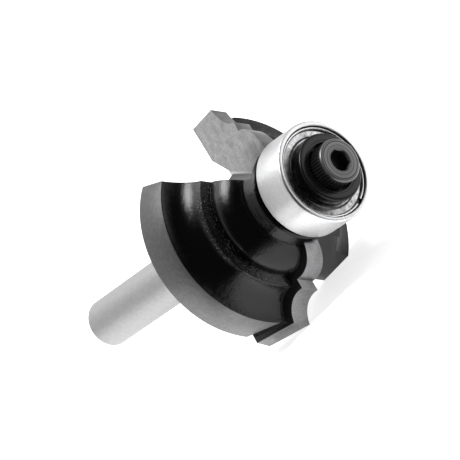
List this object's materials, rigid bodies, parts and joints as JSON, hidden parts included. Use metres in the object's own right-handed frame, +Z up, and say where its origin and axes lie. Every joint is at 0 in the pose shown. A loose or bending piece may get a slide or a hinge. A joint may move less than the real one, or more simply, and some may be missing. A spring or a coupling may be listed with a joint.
{
  "type": "router bit",
  "caption": "Cove-and-bead edge-forming router bit with brazed carbide tips, chip gullets, a plain round shank and a ball-bearing guide held on the nose by a cap screw.",
  "frame": {"origin": "centre of the shank's end face, on the bit's axis", "axes": "+X runs along the bit's axis from the shank's end to the cap screw, +Z is up with the bit lying across one gullet, +Y completes the right-handed frame"},
  "size_m": [0.0546, 0.0264, 0.025],
  "materials": {
    "black_coated_steel": "satin black non-stick coating over turned tool steel; the shank and the wings' rim are ground bare",
    "ground_carbide": "fine-ground tungsten carbide, matt grey",
    "silver_braze": "bright silver braze",
    "bearing_steel": "ground and polished bearing steel",
    "pressed_steel": "pressed sheet steel, satin",
    "spring_wire": "drawn spring wire, bright",
    "polished_balls": "mirror-polished bearing balls",
    "black_oxide_steel": "turned steel, black oxide",
    "dark_alloy_steel": "knurled and turned alloy steel, dark oxide"
  },
  "bodies": {
    "bit": {"bit_body": "black_coated_steel", "carbide_tip_a": "ground_carbide", "carbide_tip_b": "ground_carbide", "braze_joint_a": "silver_braze", "braze_joint_b": "silver_braze", "bearing_inner_ring": "bearing_steel", "bearing_collar": "black_oxide_steel", "cap_screw": "dark_alloy_steel"},
    "outer_race": {"bearing_outer_ring": "bearing_steel", "shield_front": "pressed_steel", "shield_rear": "pressed_steel", "snap_ring_front": "spring_wire", "snap_ring_rear": "spring_wire"},
    "ball_train": {"ball_cage": "pressed_steel", "ball_1": "polished_balls", "ball_2": "polished_balls", "ball_3": "polished_balls", "ball_4": "polished_balls", "ball_5": "polished_balls", "ball_6": "polished_balls", "ball_7": "polished_balls"}
  },
  "joints": [
    {"name": "bearing_spin", "type": "hinge", "parent": "bit", "child": "outer_race", "pos_m": [0.0488, 0, 0], "axis": [1, 0, 0], "continuous": true},
    {"name": "cage_spin", "type": "hinge", "parent": "bit", "child": "ball_train", "pos_m": [0.0488, 0, 0], "axis": [1, 0, 0], "continuous": true}
  ],
  "couplings": [
    {"joint": "cage_spin", "follows": "bearing_spin", "ratio": 0.6364}
  ]
}
